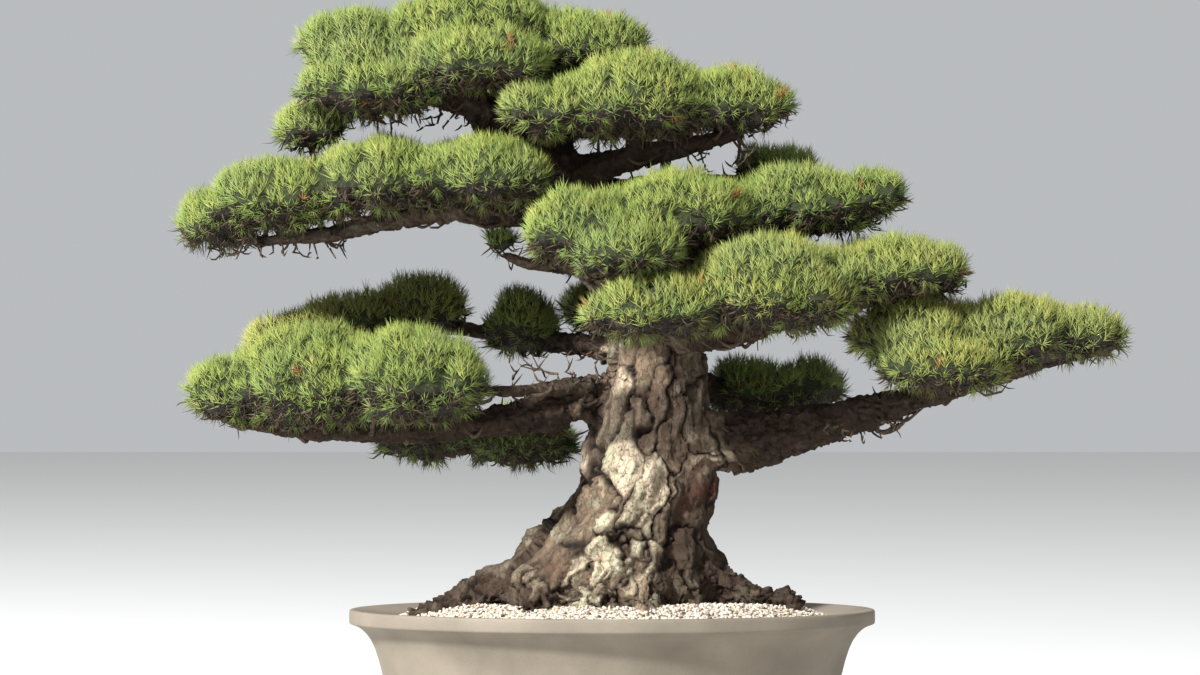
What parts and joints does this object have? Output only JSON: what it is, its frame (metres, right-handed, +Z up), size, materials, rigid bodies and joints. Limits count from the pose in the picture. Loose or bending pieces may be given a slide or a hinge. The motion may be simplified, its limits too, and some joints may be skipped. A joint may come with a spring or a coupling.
{
  "type": "pine bonsai tree in an oval pot",
  "caption": "Old pine bonsai with a heavy flared trunk and cloud-like needle pads, in an oval stoneware pot under pale grit.",
  "frame": {"origin": "under the middle of the whole tree's bounding box, on the surface that the pot's feet stand on", "axes": "+X to the right along the pot's length and the tree's spread, +Y to the back, +Z up"},
  "size_m": [1.0902, 0.5708, 0.8977],
  "materials": {
    "stoneware": "matte unglazed",
    "plastic_mesh": "moulded",
    "soil": "loose granules",
    "grit": "crushed pale stone",
    "bark": "fissured bark",
    "needles": "waxy needles"
  },
  "bodies": {
    "root": {"pot": "stoneware", "drain_screen_left": "plastic_mesh", "drain_screen_right": "plastic_mesh", "soil": "soil", "grit": "grit", "wood": "bark", "foliage_apex": "needles", "foliage_upper_left": "needles", "foliage_upper_right": "needles", "foliage_middle_left": "needles", "foliage_middle_right": "needles", "foliage_middle_right_back": "needles", "foliage_middle_tuft": "needles", "foliage_centre_right": "needles", "foliage_lower_right": "needles", "foliage_lower_left": "needles", "foliage_lower_left_back": "needles", "foliage_left_back": "needles", "foliage_right_back": "needles", "foliage_under_left": "needles", "foliage_back_middle": "needles", "foliage_back_upper": "needles", "foliage_back_lower": "needles", "foliage_back_left": "needles"}
  },
  "joints": []
}
